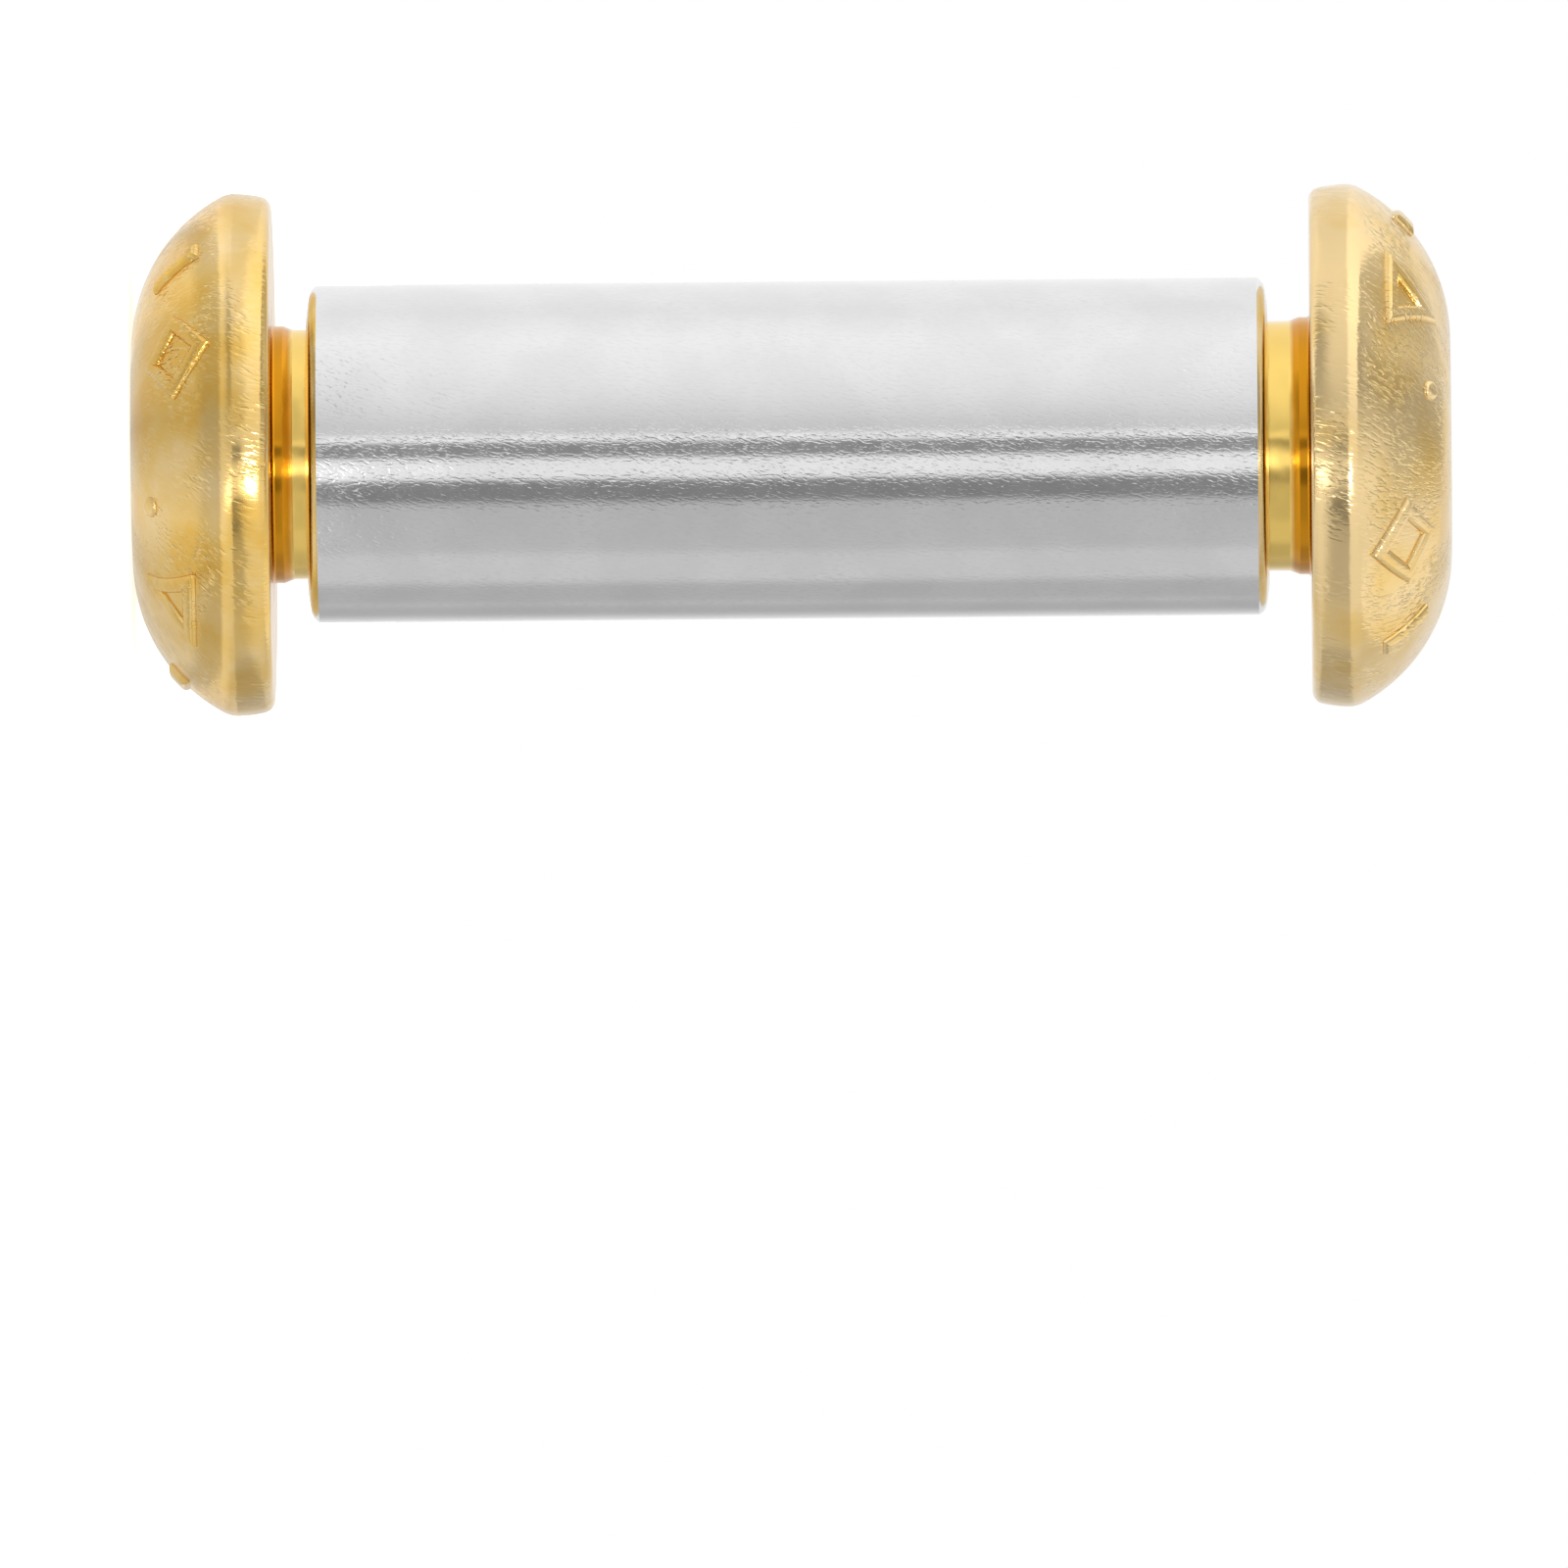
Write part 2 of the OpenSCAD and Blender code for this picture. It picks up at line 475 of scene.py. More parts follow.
# %% [markdown]
# The sleeve is a tube, so its outline is a closed section that never meets the axis. Its ends
# slope back from the mouth and meet the outside over a small rounded edge. The bore has a
# short land at each mouth and is opened out behind it, and the thread's ridge stands in there.
# The ridge stays just clear of the screws' thread, because they slide out without turning.

# %% The sleeve
WALL, MOUTH_CHAMFER = 0.52, 0.04
END_SLOPE, END_EDGE_R, END_CORNER = 9, 0.26, 25
BORE_LAND, THREAD_GROOVE = 0.10, 0.12
NUT_RIDGE_BASE_HALF, NUT_RIDGE_CREST_HALF = 0.36, 0.20

bore_r = sleeve_r - WALL
mouth_r = bore_r + MOUTH_CHAMFER
groove_r = bore_r + THREAD_GROOVE
slope = math.radians(END_SLOPE)
end_edge_r = sleeve_r - END_EDGE_R * math.cos(math.radians(END_CORNER))
end_edge_z = (END_EDGE_R + math.sin(slope) * (end_edge_r - mouth_r)) / math.cos(slope)


def sleeve_end():
    bore = [
        (groove_r, BORE_LAND + THREAD_GROOVE),
        (bore_r, BORE_LAND),
        (bore_r, MOUTH_CHAMFER),
        (mouth_r, 0),
    ]
    edge = arc(end_edge_r, end_edge_z, END_EDGE_R, END_SLOPE - 90, -END_CORNER, ARC_STEPS)
    return bore + edge


def sleeve_thread():
    section = [
        (groove_r + RIDGE_ROOT, -NUT_RIDGE_BASE_HALF),
        (bore_r, -NUT_RIDGE_CREST_HALF),
        (bore_r, NUT_RIDGE_CREST_HALF),
        (groove_r + RIDGE_ROOT, NUT_RIDGE_BASE_HALF),
    ]
    ridge = helical_ridge(section, BORE_LAND, sleeve_len - BORE_LAND)
    bring_to(ridge, BORE_LAND, sleeve_len - BORE_LAND, lambda r, z: r + MERGE_DIST)
    return ridge


lower_half = sleeve_end()
upper_half = [(r, sleeve_len - z) for r, z in reversed(lower_half)]
sleeve_bm = lathe(lower_half + upper_half, closed=True)
append(sleeve_bm, sleeve_thread())
sleeve_piece = finish_piece(sleeve_bm, "steel_sleeve", Matrix.Translation((0, 0, sleeve_low.z)))
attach(sleeve_piece, "sleeve")
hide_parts("sleeve")

# %% [markdown]
# Both metals are procedural. A short helper makes a node and sets its plain inputs, and another
# does arithmetic. The patterns lie on the unrolled surface: the angle round the axis, times a
# radius, is one direction, and the height is the other. All of it is in millimetres, so that a
# scratch a tenth of a millimetre wide is written as 0.1.

# %% Node helpers


def add_node(tree, kind, links=(), **values):
    node = tree.nodes.new(kind)
    for key, value in values.items():
        if key in node.inputs:
            node.inputs[key].default_value = value
        else:
            setattr(node, key, value)
    for socket, source in dict(links).items():
        tree.links.new(source, node.inputs[socket])
    return node


def math_node(tree, operation, *terms):
    node = add_node(tree, "ShaderNodeMath", operation=operation)
    for socket, term in zip(node.inputs, terms):
        if isinstance(term, (int, float)):
            socket.default_value = term
        else:
            tree.links.new(term, socket)
    return node.outputs["Value"]


def ramp_value(tree, value, from_min, from_max, to_min, to_max):
    node = add_node(tree, "ShaderNodeMapRange", {"Value": value}, clamp=True)
    limits = {"From Min": from_min, "From Max": from_max, "To Min": to_min, "To Max": to_max}
    for name, number in limits.items():
        node.inputs[name].default_value = number
    return node.outputs["Result"]


def noise(tree, coords, scale, detail=2.0):
    node = add_node(tree, "ShaderNodeTexNoise", {"Vector": coords}, Scale=scale, Detail=detail)
    return node.outputs["Fac"]


print("helpers for nodes, arithmetic, ramps and noise are ready")

# %% [markdown]
# The unrolled surface would bunch up on a dome, where the height hardly changes. So part of the
# distance from the axis is counted into the height, and the pattern runs on over the head.

# %% Coordinates of the finishes
middle = (cad_low + cad_high) / 2


def angle_round_axis(tree, axes):
    away = math_node(tree, "MULTIPLY", axes.outputs["Y"], -1.0)
    return math_node(tree, "ARCTAN2", axes.outputs["X"], away)


def surface_coords(tree, radius, radial_share):
    """The unrolled surface in millimetres. The radial share carries the height on across a dome."""
    place = add_node(tree, "ShaderNodeTexCoord").outputs["Object"]
    scaled = add_node(tree, "ShaderNodeVectorMath", {0: place}, operation="SCALE", Scale=1 / MM)
    solid = scaled.outputs["Vector"]
    axes = add_node(tree, "ShaderNodeSeparateXYZ", {"Vector": solid})
    width = math_node(tree, "MULTIPLY", angle_round_axis(tree, axes), radius)
    across = add_node(tree, "ShaderNodeVectorMath", {0: solid}, operation="MULTIPLY")
    across.inputs[1].default_value = (1, 1, 0)
    length = add_node(tree, "ShaderNodeVectorMath", {0: across.outputs["Vector"]}, operation="LENGTH")
    out = length.outputs["Value"]
    above = math_node(tree, "SUBTRACT", axes.outputs["Z"], middle.z / MM)
    side = math_node(tree, "SIGN", above)
    drawn_in = math_node(tree, "MULTIPLY", math_node(tree, "MULTIPLY", out, side), radial_share)
    height = math_node(tree, "SUBTRACT", axes.outputs["Z"], drawn_in)
    flat = add_node(tree, "ShaderNodeCombineXYZ", {"X": width, "Y": height}).outputs["Vector"]
    return SimpleNamespace(solid=solid, flat=flat, out=out, above=above, side=side)


print("patterns are centred at", [round(c / MM, 3) for c in middle], "mm")

# %% [markdown]
# Small parts are tumbled against each other, so both metals carry fine short dents that run
# along the axis at a slant. A noise drawn out along one direction gives long cells, and only
# its highest parts are kept, so that the dents lie apart. Two slants are laid over each other,
# and a broad noise decides where the dents are deep, since the real ones gather in patches.

# %% Dents
DENT_START, DENT_FOOT = 0.53, 0.72
PATCH_SCALE, PATCH_START, PATCH_FULL = 0.7, 0.42, 0.60


def dents(tree, flat, slant_deg, length, width):
    drawn = add_node(
        tree,
        "ShaderNodeMapping",
        {"Vector": flat},
        vector_type="TEXTURE",
        Rotation=(0, 0, math.radians(slant_deg)),
        Scale=(length, width, 1),
    )
    rough = noise(tree, drawn.outputs["Vector"], 1.0, 1.0)
    return ramp_value(tree, rough, DENT_START, DENT_FOOT, 0.0, 1.0)


def dent_depth(tree, flat, slants, length, width, calm):
    """In the calm patches only that share of the depth is left."""
    total = dents(tree, flat, slants[0], length, width)
    for slant in slants[1:]:
        total = math_node(tree, "ADD", total, dents(tree, flat, slant, length, width))
    rough = noise(tree, flat, PATCH_SCALE)
    patches = ramp_value(tree, rough, PATCH_START, PATCH_FULL, calm, 1.0)
    return math_node(tree, "MULTIPLY", total, patches)


def blend(tree, share, first, second):
    node = add_node(tree, "ShaderNodeMixRGB", {"Fac": share, "Color1": first}, Color2=second)
    return node.outputs["Color"]


def mark_dents(tree, colour, depth, fleck, most):
    """A dent takes on the fleck's colour, at most by this share."""
    return blend(tree, ramp_value(tree, depth, 0.0, 1.0, 0.0, most), colour, fleck)


print("dents begin where the noise is over", DENT_START)

# %% [markdown]
# Both finishes start as a bare metal, and both take their colour from a noise through a few tones.

# %% Metal helpers
TONE_SCALE, FINE_DETAIL = 0.8, 4.0
GLOSS_FROM, GLOSS_TO = 0.35, 0.65


def new_metal(name):
    material = bpy.data.materials.new(name)
    material.use_nodes = True
    tree = material.node_tree
    shader = tree.nodes["Principled BSDF"]
    shader.inputs["Metallic"].default_value = 1.0
    return material, tree, shader


def tones_between(tree, value, *stops):
    ramp = add_node(tree, "ShaderNodeValToRGB", {"Fac": value})
    marks = ramp.color_ramp.elements
    while len(marks) < len(stops):
        marks.new(0.5)
    for mark, (position, colour) in zip(marks, stops):
        mark.position, mark.color = position, colour
    return ramp.outputs["Color"]


print("a metal is a Principled shader with noise in its colour, gloss and bump")

# %% [markdown]
# The gold of the heads is a warm, polished yellow metal, a little paler on the upper head. A painted
# sheen makes it paler on the rims. Its shank is a brighter yellow, partly painted sheen. In the corner
# under each head it is painted a deep orange, painted shade and the gold's painted reflection of itself.

# %% Tones of the gold
GOLD_ORANGE = (0.80, 0.49, 0.11, 1)
GOLD_DEEP = (0.82, 0.55, 0.17, 1)
GOLD_PALE = (0.87, 0.65, 0.33, 1)
# Partly painted sheen: the shank is painted a brighter yellow than the heads.
GOLD_SHANK_SHEEN = (0.99, 0.69, 0.19, 1)
# Painted shade and reflection: the deep orange of the corner under each head.
GOLD_CORNER_SHADE = (0.70, 0.30, 0.015, 1)
# The second share paints the rims paler, a painted sheen.
UPPER_PALER, RIM_SHEEN_PALER = 0.10, 0.08
CORNER_LEN, CORNER_FADE, CORNER_R = 0.29, 0.08, 2.6
RIM_SHEEN_START, RIM_SHEEN_FULL = 0.3, 0.1


def gold_tone(tree, at):
    # Painted sheen: the gold is painted paler towards the rim's edge.
    rim_sheen = ramp_value(tree, at.out, head_r - RIM_SHEEN_START, head_r - RIM_SHEEN_FULL, 0.0, RIM_SHEEN_PALER)
    cloudy = noise(tree, at.solid, TONE_SCALE, FINE_DETAIL)
    patches = math_node(tree, "MULTIPLY_ADD", at.side, UPPER_PALER, cloudy)
    patches = math_node(tree, "ADD", patches, rim_sheen)
    head = tones_between(tree, patches, (0.32, GOLD_ORANGE), (0.42, GOLD_DEEP), (0.68, GOLD_PALE))

    bearing = (upper_bearing_z - lower_bearing_z) / 2
    below = math_node(tree, "SUBTRACT", bearing, math_node(tree, "ABSOLUTE", at.above))
    on_shank = ramp_value(tree, below, CORNER_LEN, CORNER_LEN + CORNER_FADE, 0.0, 1.0)
    under_head = ramp_value(tree, below, -2 * FACE_GUARD, -FACE_GUARD, 0.0, 1.0)
    inside = ramp_value(tree, at.out, CORNER_R, CORNER_R + CORNER_FADE, 1.0, 0.0)
    # Painted shade and reflection: the corner under the head is painted deep orange.
    corner_shade = math_node(tree, "MULTIPLY", math_node(tree, "SUBTRACT", under_head, on_shank), inside)
    # The shank's brighter yellow is partly painted sheen.
    return blend(tree, corner_shade, blend(tree, on_shank, head, GOLD_SHANK_SHEEN), GOLD_CORNER_SHADE), under_head


print(f"the orange corner is {CORNER_LEN} mm deep and reaches out to {CORNER_R} mm")

# %% [markdown]
# The dents of the gold are a shallow bump that tears the highlights, and they are painted a little
# brighter than the metal round them, painted glints. Under a head and in its socket there are none.

# %% Gold finish
# Painted glints: the dents are painted this paler gold.
GOLD_GLINT = (0.95, 0.76, 0.38, 1)
GOLD_UNROLL_R, GOLD_RADIAL_SHARE = 4.2, 0.7
GOLD_DENT_SLANTS = (68, 78)
GOLD_DENT_LEN, GOLD_DENT_W, GOLD_CALM = 0.26, 0.075, 0.15
GOLD_GLINT_SHARE, GOLD_BUMP = 0.35, 0.013
GOLD_GLOSS, GOLD_GLOSS_SCALE = (0.13, 0.20), 2.0
GOLD_WAVES, GOLD_WAVE_SCALE = 1.0, 1.6
RIM_DENTS, DEEP_START = 0.35, 0.8
RIM_START, RIM_FULL = 0.15, 0.05


def where_struck(tree, at):
    """Dents are deep on the dome near the rim, shallow on the rim, and no blow reaches the socket."""
    on_dome = ramp_value(tree, at.out, socket_mouth_r, head_r - DEEP_START, 0.0, 1.0)
    on_rim = ramp_value(tree, at.out, head_r - RIM_START, head_r - RIM_FULL, 1.0, RIM_DENTS)
    return math_node(tree, "MULTIPLY", math_node(tree, "SQRT", on_dome), on_rim)


def gold_finish():
    material, tree, shader = new_metal("tumbled_gold")
    at = surface_coords(tree, GOLD_UNROLL_R, GOLD_RADIAL_SHARE)
    tone, under_head = gold_tone(tree, at)
    depth = dent_depth(tree, at.flat, GOLD_DENT_SLANTS, GOLD_DENT_LEN, GOLD_DENT_W, GOLD_CALM)
    depth = math_node(tree, "MULTIPLY", depth, where_struck(tree, at))
    depth = math_node(tree, "MULTIPLY", depth, math_node(tree, "SUBTRACT", 1.0, under_head))
    # Painted glints: the dents are painted a paler gold.
    marked = mark_dents(tree, tone, depth, GOLD_GLINT, GOLD_GLINT_SHARE)
    tree.links.new(marked, shader.inputs["Base Color"])
    gloss_noise = noise(tree, at.solid, GOLD_GLOSS_SCALE, FINE_DETAIL)
    gloss = ramp_value(tree, gloss_noise, GLOSS_FROM, GLOSS_TO, *GOLD_GLOSS)
    tree.links.new(gloss, shader.inputs["Roughness"])

    waves = math_node(tree, "MULTIPLY", noise(tree, at.solid, GOLD_WAVE_SCALE, 1.0), GOLD_WAVES)
    height = math_node(tree, "SUBTRACT", waves, depth)
    bump = add_node(tree, "ShaderNodeBump", {"Height": height}, Distance=GOLD_BUMP * MM, Strength=1.0)
    tree.links.new(bump.outputs["Normal"], shader.inputs["Normal"])
    return material


gold = gold_finish()
for piece in (lower_piece, upper_piece):
    piece.data.materials.append(gold)
print("gold has", len(gold.node_tree.nodes), "nodes")

# %% [markdown]
# The sleeve is turned steel with a satin shine. The tool leaves faint rings round it, a noise
# that changes only along the axis. Over them lie shorter, far shallower dents than on the heads,
# a little darker than the metal round them.

# %% Steel finish
STEEL_DARK = (0.80, 0.80, 0.805, 1)
STEEL_LIGHT = (0.84, 0.84, 0.845, 1)
STEEL_FLECK = (0.76, 0.76, 0.765, 1)
STEEL_DENT_SLANTS = (70, 86)
STEEL_DENT_LEN, STEEL_DENT_W, STEEL_CALM = 0.16, 0.05, 0.7
STEEL_FLECK_SHARE, STEEL_BUMP = 0.5, 0.0009
STEEL_GLOSS, STEEL_GLOSS_SCALE = (0.08, 0.12), 1.5
RING_LEN, RING_W, RING_SHARE = 20.0, 0.12, 0.3


def steel_finish():
    material, tree, shader = new_metal("turned_steel")
    at = surface_coords(tree, sleeve_r, 0.0)
    cloudy = noise(tree, at.solid, TONE_SCALE, FINE_DETAIL)
    tone = tones_between(tree, cloudy, (0.40, STEEL_DARK), (0.60, STEEL_LIGHT))
    depth = dent_depth(tree, at.flat, STEEL_DENT_SLANTS, STEEL_DENT_LEN, STEEL_DENT_W, STEEL_CALM)
    marked = mark_dents(tree, tone, depth, STEEL_FLECK, STEEL_FLECK_SHARE)
    tree.links.new(marked, shader.inputs["Base Color"])
    gloss_noise = noise(tree, at.flat, STEEL_GLOSS_SCALE, 3.0)
    gloss = ramp_value(tree, gloss_noise, GLOSS_FROM, GLOSS_TO, *STEEL_GLOSS)
    tree.links.new(gloss, shader.inputs["Roughness"])

    squeezed = add_node(
        tree,
        "ShaderNodeMapping",
        {"Vector": at.flat},
        vector_type="TEXTURE",
        Scale=(RING_LEN, RING_W, 1),
    )
    rings = math_node(tree, "MULTIPLY", noise(tree, squeezed.outputs["Vector"], 1.0, 2.0), RING_SHARE)
    height = math_node(tree, "SUBTRACT", rings, depth)
    bump = add_node(tree, "ShaderNodeBump", {"Height": height}, Distance=STEEL_BUMP * MM, Strength=1.0)
    tree.links.new(bump.outputs["Normal"], shader.inputs["Normal"])
    return material


steel = steel_finish()
sleeve_piece.data.materials.append(steel)
print("steel has", len(steel.node_tree.nodes), "nodes")

# %% [markdown]
# The camera looks almost square at the axis through a long lens, from a little nearer the upper
# head. It is rolled a quarter turn, so that the standing screw lies across the picture with its
# lower head on the left. The object sits above the picture's middle: its pixel size and place
# there set the camera's place.

# %% Camera
PICTURE_PX = 1600
PX_PER_MM = 57.33
OBJECT_PX_RIGHT, OBJECT_PX_UP = 7.85, 341.5
AXIS_TILT, AXIS_YAW = math.radians(0.5), math.radians(0.45)
CAMERA_DIST = 0.9
SENSOR_W = 36.0

camera_data = bpy.data.cameras.new("camera")
camera_data.sensor_width = SENSOR_W
camera_data.lens = SENSOR_W * (CAMERA_DIST / MM) * PX_PER_MM / PICTURE_PX
camera_data.clip_start, camera_data.clip_end = 0.01, 10.0
camera = bpy.data.objects.new("camera", camera_data)
bpy.context.scene.collection.objects.link(camera)
bpy.context.scene.camera = camera

level_right = Vector((0, math.sin(AXIS_YAW), math.cos(AXIS_YAW)))
level_up = Vector((-1, 0, 0))
right = level_right * math.cos(AXIS_TILT) - level_up * math.sin(AXIS_TILT)
up = level_up * math.cos(AXIS_TILT) + level_right * math.sin(AXIS_TILT)
back = right.cross(up)
offset = right * OBJECT_PX_RIGHT + up * OBJECT_PX_UP
spot = middle - offset * (MM / PX_PER_MM) + back * CAMERA_DIST
camera.matrix_world = Matrix.Translation(spot) @ Matrix((right, up, back)).transposed().to_4x4()
print(f"lens {camera_data.lens:.0f} mm, camera at {[round(c, 4) for c in spot]}")

# %% [markdown]
# Polished metal is only as good as what it reflects. A photographer puts paper round such a part:
# white on one side, grey on the other, with a dark gap where the camera looks in. Here the paper
# is a tone that follows the angle round the axis, counted from the camera's side towards the
# picture's lower edge. The helpers below make such a tone and a surface that glows with it.

# %% Tones round the object


def object_axes(tree):
    place = add_node(tree, "ShaderNodeTexCoord")
    return add_node(tree, "ShaderNodeSeparateXYZ", {"Vector": place.outputs["Object"]})


def tone_ramp(tree, tones, angle, level=None):
    share = math_node(tree, "MULTIPLY_ADD", angle, 0.5 / math.pi, 0.5)
    ramp = add_node(tree, "ShaderNodeValToRGB", {"Fac": share})
    stops = ramp.color_ramp.elements
    for degrees, tone in tones[1:-1]:
        stops.new((degrees + 180) / 360).color = (tone, tone, tone, 1)
    for stop, tone in ((stops[0], tones[0][1]), (stops[len(stops) - 1], tones[-1][1])):
        stop.color = (tone, tone, tone, 1)
    glow = add_node(tree, "ShaderNodeEmission", {"Color": ramp.outputs["Color"]})
    if level:
        tree.links.new(level, glow.inputs["Strength"])
    return glow.outputs["Emission"]


def bare_material(name):
    material = bpy.data.materials.new(name)
    material.use_nodes = True
    material.node_tree.nodes.clear()
    return material


def show(tree, shader):
    add_node(tree, "ShaderNodeOutputMaterial", {"Surface": shader})


def mix_shaders(tree, share, first, second):
    return add_node(tree, "ShaderNodeMixShader", {"Fac": share, 1: first, 2: second}).outputs["Shader"]


print("a tone is a colour ramp over the angle, a full turn long")

# %% [markdown]
# Each list gives the paper's tone at angles round the axis, in degrees. They were tuned until the
# mirrored bands were as bright as the photograph's. The first and last stand at the far side, where
# the turn closes, and tones over 1 are brighter than white paper.

# %% Tones of the paper
WALL_TONES = [
    (-180, 1.0), (-125, 0.96), (-111, 0.93), (-82, 1.02), (-54, 0.96), (-39, 0.89), (-25, 0.78),
    (-14, 0.66), (-12, 0.66), (-11, 1.0), (-7, 1.0), (-6, 0.28), (3, 0.28), (5, 0.92), (18, 0.92),
    (20, 0.24), (33, 0.24), (36, 0.53), (70, 0.56), (76, 0.66), (98, 0.66), (105, 0.49), (122, 0.49),
    (128, 0.56), (134, 0.48), (145, 0.48), (165, 0.8), (180, 1.0),
]
HIGH_WALL_TONES = [
    (-180, 0.9), (-110, 1.25), (-66, 1.45), (-30, 1.15), (-10, 0.95), (16, 1.05), (40, 0.95), (80, 0.92),
    (124, 0.7), (180, 0.9),
]
# Painted shade: near the axis these mirrored floor tones stand in for the head's own shadow on it.
NEAR_FLOOR_TONES = [
    (-180, 0.9), (-57, 1.05), (-46, 0.85), (-26, 0.8), (-11, 0.66), (5, 0.8), (21, 0.95), (40, 0.8),
    (71, 0.8), (180, 0.9),
]
# From 11 to 16 degrees the far floor glows at 3, a painted lamp that puts painted highlights on the
# rims.
FAR_FLOOR_TONES = [
    (-180, 0.9), (-100, 1.1), (-78, 1.05), (-52, 0.5), (-20, 0.55), (0, 0.8), (8, 0.95), (11, 3.0),
    (16, 3.0), (20, 1.0), (40, 0.95), (70, 0.87), (110, 0.73), (180, 0.9),
]
FRONT_CEILING_TONES = [
    (-180, 0.7), (-50, 0.7), (-32, 0.5), (-15, 0.45), (0, 0.8), (8, 1.05), (25, 0.9), (60, 0.95),
    (180, 0.9),
]
BACK_CEILING_TONES = [
    (-180, 0.65), (-45, 0.6), (-32, 0.85), (-15, 0.45), (0, 0.55), (10, 0.72), (20, 0.9), (50, 1.1),
    (180, 1.0),
]
print("the wall has", len(WALL_TONES), "tones low down and", len(HIGH_WALL_TONES), "higher up")

# %% [markdown]
# The world is white to the camera and to mirrors, through Light Path, while the light that it
# throws on the floor and the metal stays plain.

# %% White world
WORLD_LIGHT = 0.8


def white_world():
    world = bpy.data.worlds.new("white_studio")
    world.use_nodes = True
    tree = world.node_tree
    tree.nodes.clear()
    path = add_node(tree, "ShaderNodeLightPath")
    seen = math_node(tree, "MAXIMUM", path.outputs["Is Camera Ray"], path.outputs["Is Glossy Ray"])
    seen = math_node(tree, "MAXIMUM", seen, path.outputs["Is Transmission Ray"])
    strength = ramp_value(tree, seen, 0.0, 1.0, WORLD_LIGHT, 1.0)
    sky = add_node(tree, "ShaderNodeBackground", {"Strength": strength}, Color=(1, 1, 1, 1))
    add_node(tree, "ShaderNodeOutputWorld", {"Surface": sky.outputs["Background"]})
    bpy.context.scene.world = world


white_world()
print("the world's own light is", WORLD_LIGHT)

# %% [markdown]
# Part of the floor's white is its own lit surface, which keeps the shadow under the head. In a
# mirror the floor is paper too. Close to the axis the lower dome mirrors it, and there its tones
# are painted shade for the head's shadow on the floor, with a dim ring under the head's edge and a
# painted bright ring outside it. Further out the upper rim does, and beyond that it takes the
# wall's own tones.

# %% Floor
FLOOR_GLOW, FLOOR_COLOUR = 0.7, (0.9, 0.9, 0.9, 1)
FLOOR_SIZE = 0.6
NEAR_FLOOR_R, FAR_FLOOR_R = 0.007, 0.012
# Painted shadow: a dim ring under the head's edge, then a painted bright ring beyond it.
SHADOW_RING_START, SHADOW_RING_LEVEL = (0.0046, 0.0050), 0.78
BRIGHT_RING_START, BRIGHT_RING_LEVEL = (0.0059, 0.0066), 1.5
FAR_FLOOR_END, WALL_FOOT_R = 0.055, 0.085


def floor_material():
    material = bare_material("pale_floor")
    tree = material.node_tree
    path = add_node(tree, "ShaderNodeLightPath")
    glow = math_node(tree, "MULTIPLY", path.outputs["Is Camera Ray"], FLOOR_GLOW)
    lit = add_node(tree, "ShaderNodeBsdfDiffuse", Color=FLOOR_COLOUR)
    shine = add_node(tree, "ShaderNodeEmission", {"Strength": glow})
    seen = add_node(tree, "ShaderNodeAddShader", {0: lit.outputs["BSDF"], 1: shine.outputs["Emission"]})

    place = add_node(tree, "ShaderNodeTexCoord")
    out = add_node(tree, "ShaderNodeVectorMath", {0: place.outputs["Object"]}, operation="LENGTH")
    far = ramp_value(tree, out.outputs["Value"], NEAR_FLOOR_R, FAR_FLOOR_R, 0.0, 1.0)
    at_wall = ramp_value(tree, out.outputs["Value"], FAR_FLOOR_END, WALL_FOOT_R, 0.0, 1.0)
    angle = angle_round_axis(tree, object_axes(tree))
    # Painted shadow and a painted bright ring in the mirrored floor near the head.
    dim = ramp_value(tree, out.outputs["Value"], *SHADOW_RING_START, 1.0, SHADOW_RING_LEVEL)
    light = ramp_value(tree, out.outputs["Value"], *BRIGHT_RING_START, 1.0, BRIGHT_RING_LEVEL)
    near_tone = tone_ramp(tree, NEAR_FLOOR_TONES, angle, math_node(tree, "MULTIPLY", dim, light))
    far_tone, wall_tone = (tone_ramp(tree, tones, angle) for tones in (FAR_FLOOR_TONES, WALL_TONES))
    mirrored = mix_shaders(tree, at_wall, mix_shaders(tree, far, near_tone, far_tone), wall_tone)
    glossy, through = path.outputs["Is Glossy Ray"], path.outputs["Is Transmission Ray"]
    in_mirror = math_node(tree, "MAXIMUM", glossy, through)
    show(tree, mix_shaders(tree, in_mirror, seen.outputs["Shader"], mirrored))
    return material


def make_stage(bm, name, material):
    mesh = bpy.data.meshes.new(name)
    bm.to_mesh(mesh)
    bm.free()
    mesh.materials.append(material)
    thing = bpy.data.objects.new(name, mesh)
    bpy.context.scene.collection.objects.link(thing)
    return thing


floor_bm = bmesh.new()
bmesh.ops.create_grid(floor_bm, x_segments=1, y_segments=1, size=FLOOR_SIZE / 2)
make_stage(floor_bm, "floor", floor_material())
print("floor is", FLOOR_SIZE, "m wide")

# %% [markdown]
# The paper wall is a ring round the object, and a round sheet of paper lies on top of it. Only
# reflections see them: the camera looks through, and they neither light the floor nor shade it.
# The sleeve mirrors the low part of the wall, and so do the rims, but where the lower rim leans up
# it mirrors the part above. The sheet is mirrored in the upper dome. A spot at X, Y on it, a height
# H above, shows on the dome where the surface leans back by half the angle that goes up to that
# spot, and at the angle round the head whose sine is X times the tangent of that lean, over H.

# %% Paper wall and ceiling
WALL_R, WALL_H = 0.16, 0.14
LOW_WALL_H, HIGH_WALL_Z = 0.026, 0.036
CEILING_HOLE_R = 0.001
WALL_STEPS = 180
FRONT_Y, BACK_Y = -0.05, -0.015


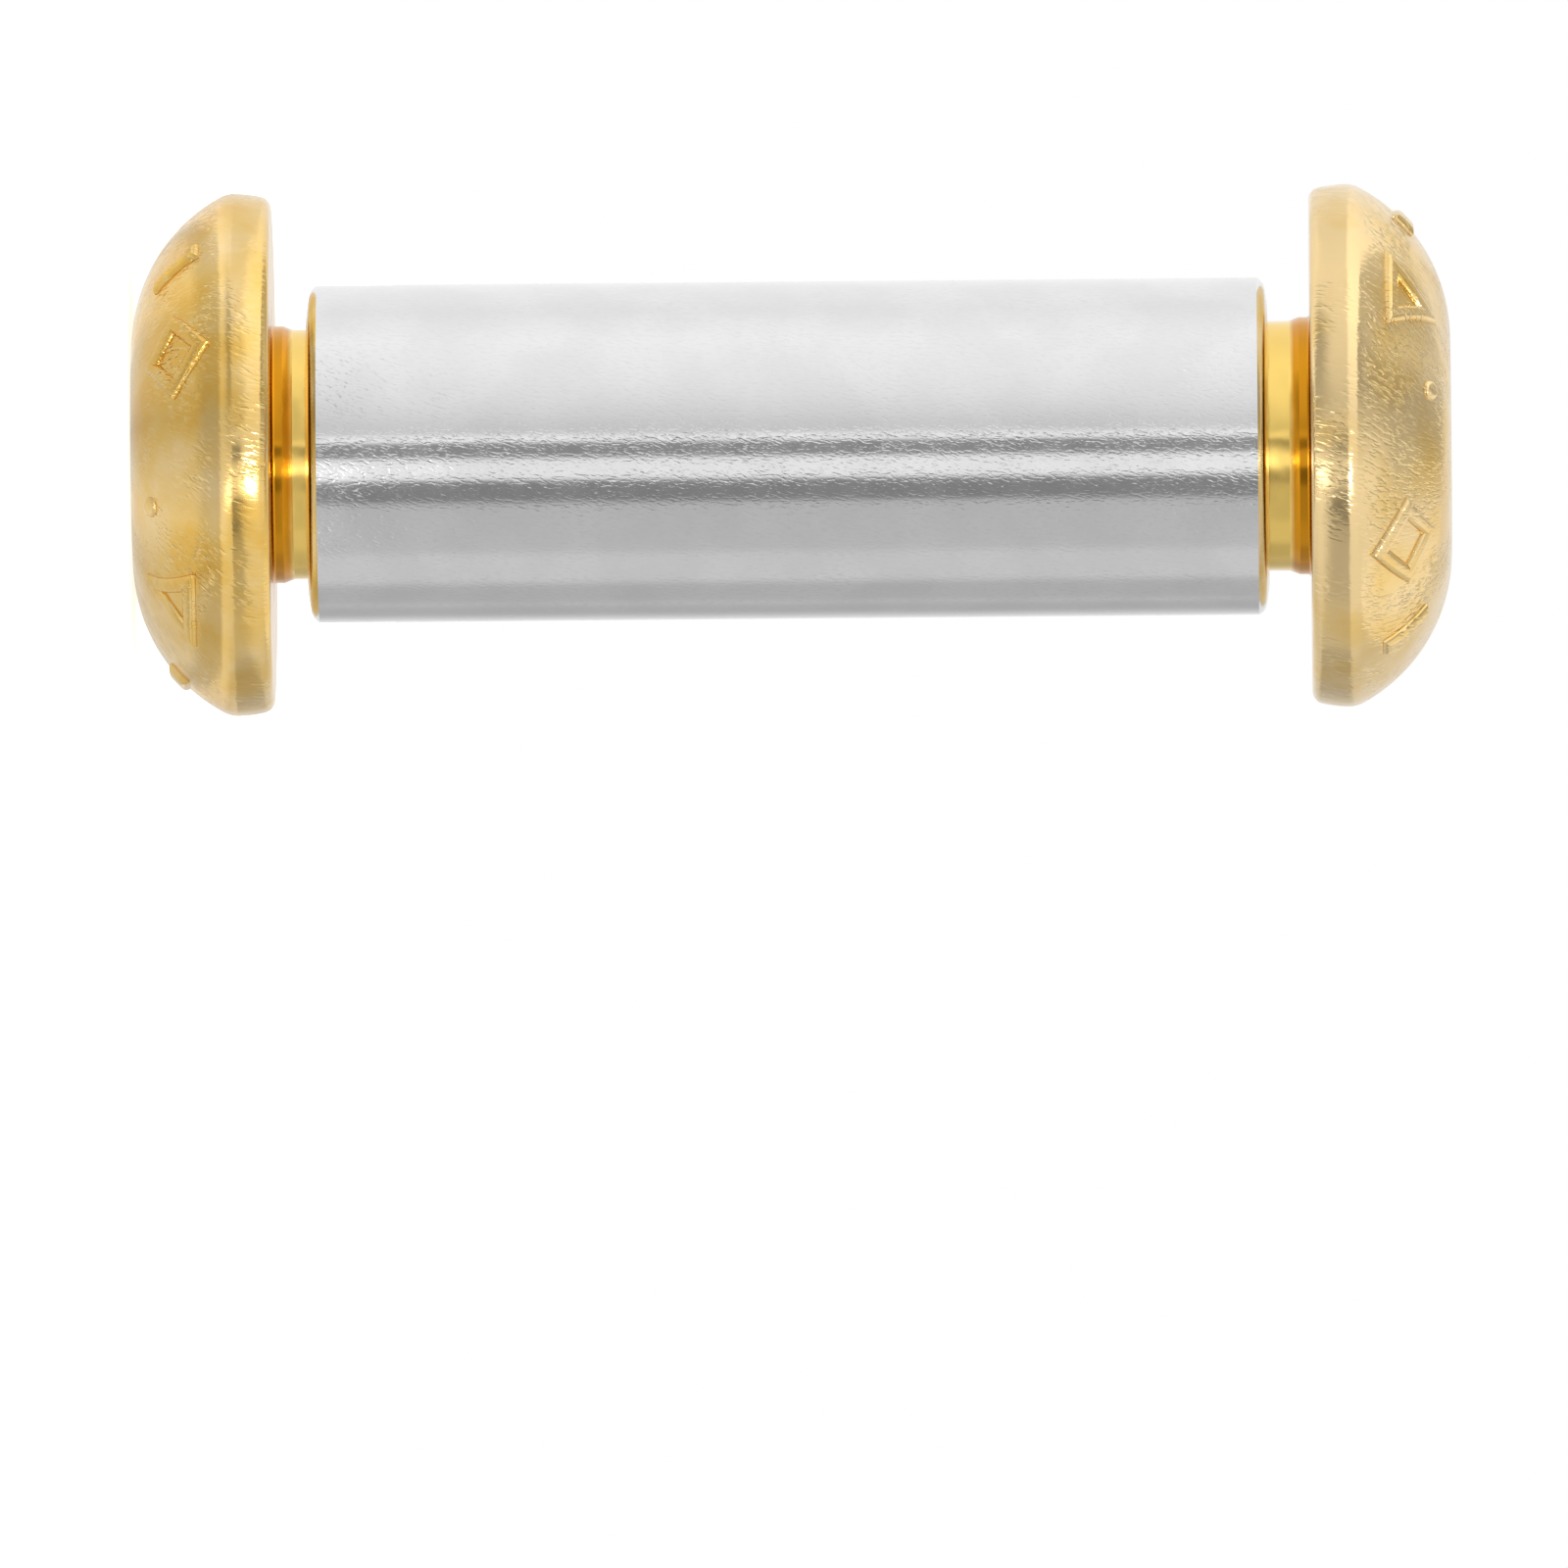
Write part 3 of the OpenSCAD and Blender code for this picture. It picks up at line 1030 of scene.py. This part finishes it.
def wall_paper(tree):
    axes = object_axes(tree)
    angle = angle_round_axis(tree, axes)
    high = ramp_value(tree, axes.outputs["Z"], LOW_WALL_H, HIGH_WALL_Z, 0.0, 1.0)
    low_tone = tone_ramp(tree, WALL_TONES, angle)
    return mix_shaders(tree, high, low_tone, tone_ramp(tree, HIGH_WALL_TONES, angle))


def ceiling_paper(tree):
    axes = object_axes(tree)
    rise = WALL_H - cad_high.z
    towards = math_node(tree, "MULTIPLY", axes.outputs["Y"], -1.0)
    lean = math_node(tree, "MULTIPLY", math_node(tree, "ARCTAN2", rise, towards), 0.5)
    across = math_node(tree, "MULTIPLY", axes.outputs["X"], math_node(tree, "TANGENT", lean))
    sine = ramp_value(tree, across, -rise, rise, -1.0, 1.0)
    angle = math_node(tree, "ARCSINE", sine)
    back = ramp_value(tree, axes.outputs["Y"], FRONT_Y, BACK_Y, 0.0, 1.0)
    front_tone = tone_ramp(tree, FRONT_CEILING_TONES, angle)
    return mix_shaders(tree, back, front_tone, tone_ramp(tree, BACK_CEILING_TONES, angle))


def ring_stage(name, paper, first_z, second_r):
    material = bare_material(name)
    show(material.node_tree, paper(material.node_tree))
    bm = bmesh.new()
    bmesh.ops.create_circle(bm, cap_ends=False, segments=WALL_STEPS, radius=WALL_R)
    bmesh.ops.translate(bm, vec=(0, 0, first_z), verts=bm.verts)
    far = new_verts(bmesh.ops.extrude_edge_only(bm, edges=bm.edges[:]))
    bmesh.ops.scale(bm, vec=(second_r / WALL_R, second_r / WALL_R, 1), verts=far)
    bmesh.ops.translate(bm, vec=(0, 0, WALL_H - first_z), verts=far)
    thing = make_stage(bm, name, material)
    thing.visible_camera = False
    thing.visible_diffuse = False
    thing.visible_shadow = False
    thing.visible_transmission = False
    print(name, "goes from", first_z, "to", WALL_H, "m high")


ring_stage("paper_wall", wall_paper, 0.0, WALL_R)
ring_stage("paper_ceiling", ceiling_paper, WALL_H, CEILING_HOLE_R)

# %% [markdown]
# Soft lamps give the floor its shadow and the gold its small highlights. A lamp's power is
# worked out from how bright its face should look. Only the small front lamp shows in the metal.

# %% Lamps
HIGH_LAMP_SPOT, HIGH_LAMP_SIZE, HIGH_LAMP_LEVEL = (-0.20, -0.12, 0.26), 0.14, 1.3
FRONT_LAMP_SPOT, FRONT_LAMP_SIZE, FRONT_LAMP_LEVEL = (0.035, -0.15, 0.050), 0.020, 20.0


def soft_lamp(name, spot, size, brightness):
    data = bpy.data.lights.new(name, "AREA")
    data.size = size
    data.energy = brightness * math.pi * size**2
    lamp = bpy.data.objects.new(name, data)
    bpy.context.scene.collection.objects.link(lamp)
    lamp.location = spot
    lamp.rotation_euler = (middle - Vector(spot)).to_track_quat("-Z", "Y").to_euler()
    return lamp


high_lamp = soft_lamp("high_lamp", HIGH_LAMP_SPOT, HIGH_LAMP_SIZE, HIGH_LAMP_LEVEL)
high_lamp.visible_glossy = False
soft_lamp("front_lamp", FRONT_LAMP_SPOT, FRONT_LAMP_SIZE, FRONT_LAMP_LEVEL)
bpy.context.scene.view_settings.view_transform = "Standard"
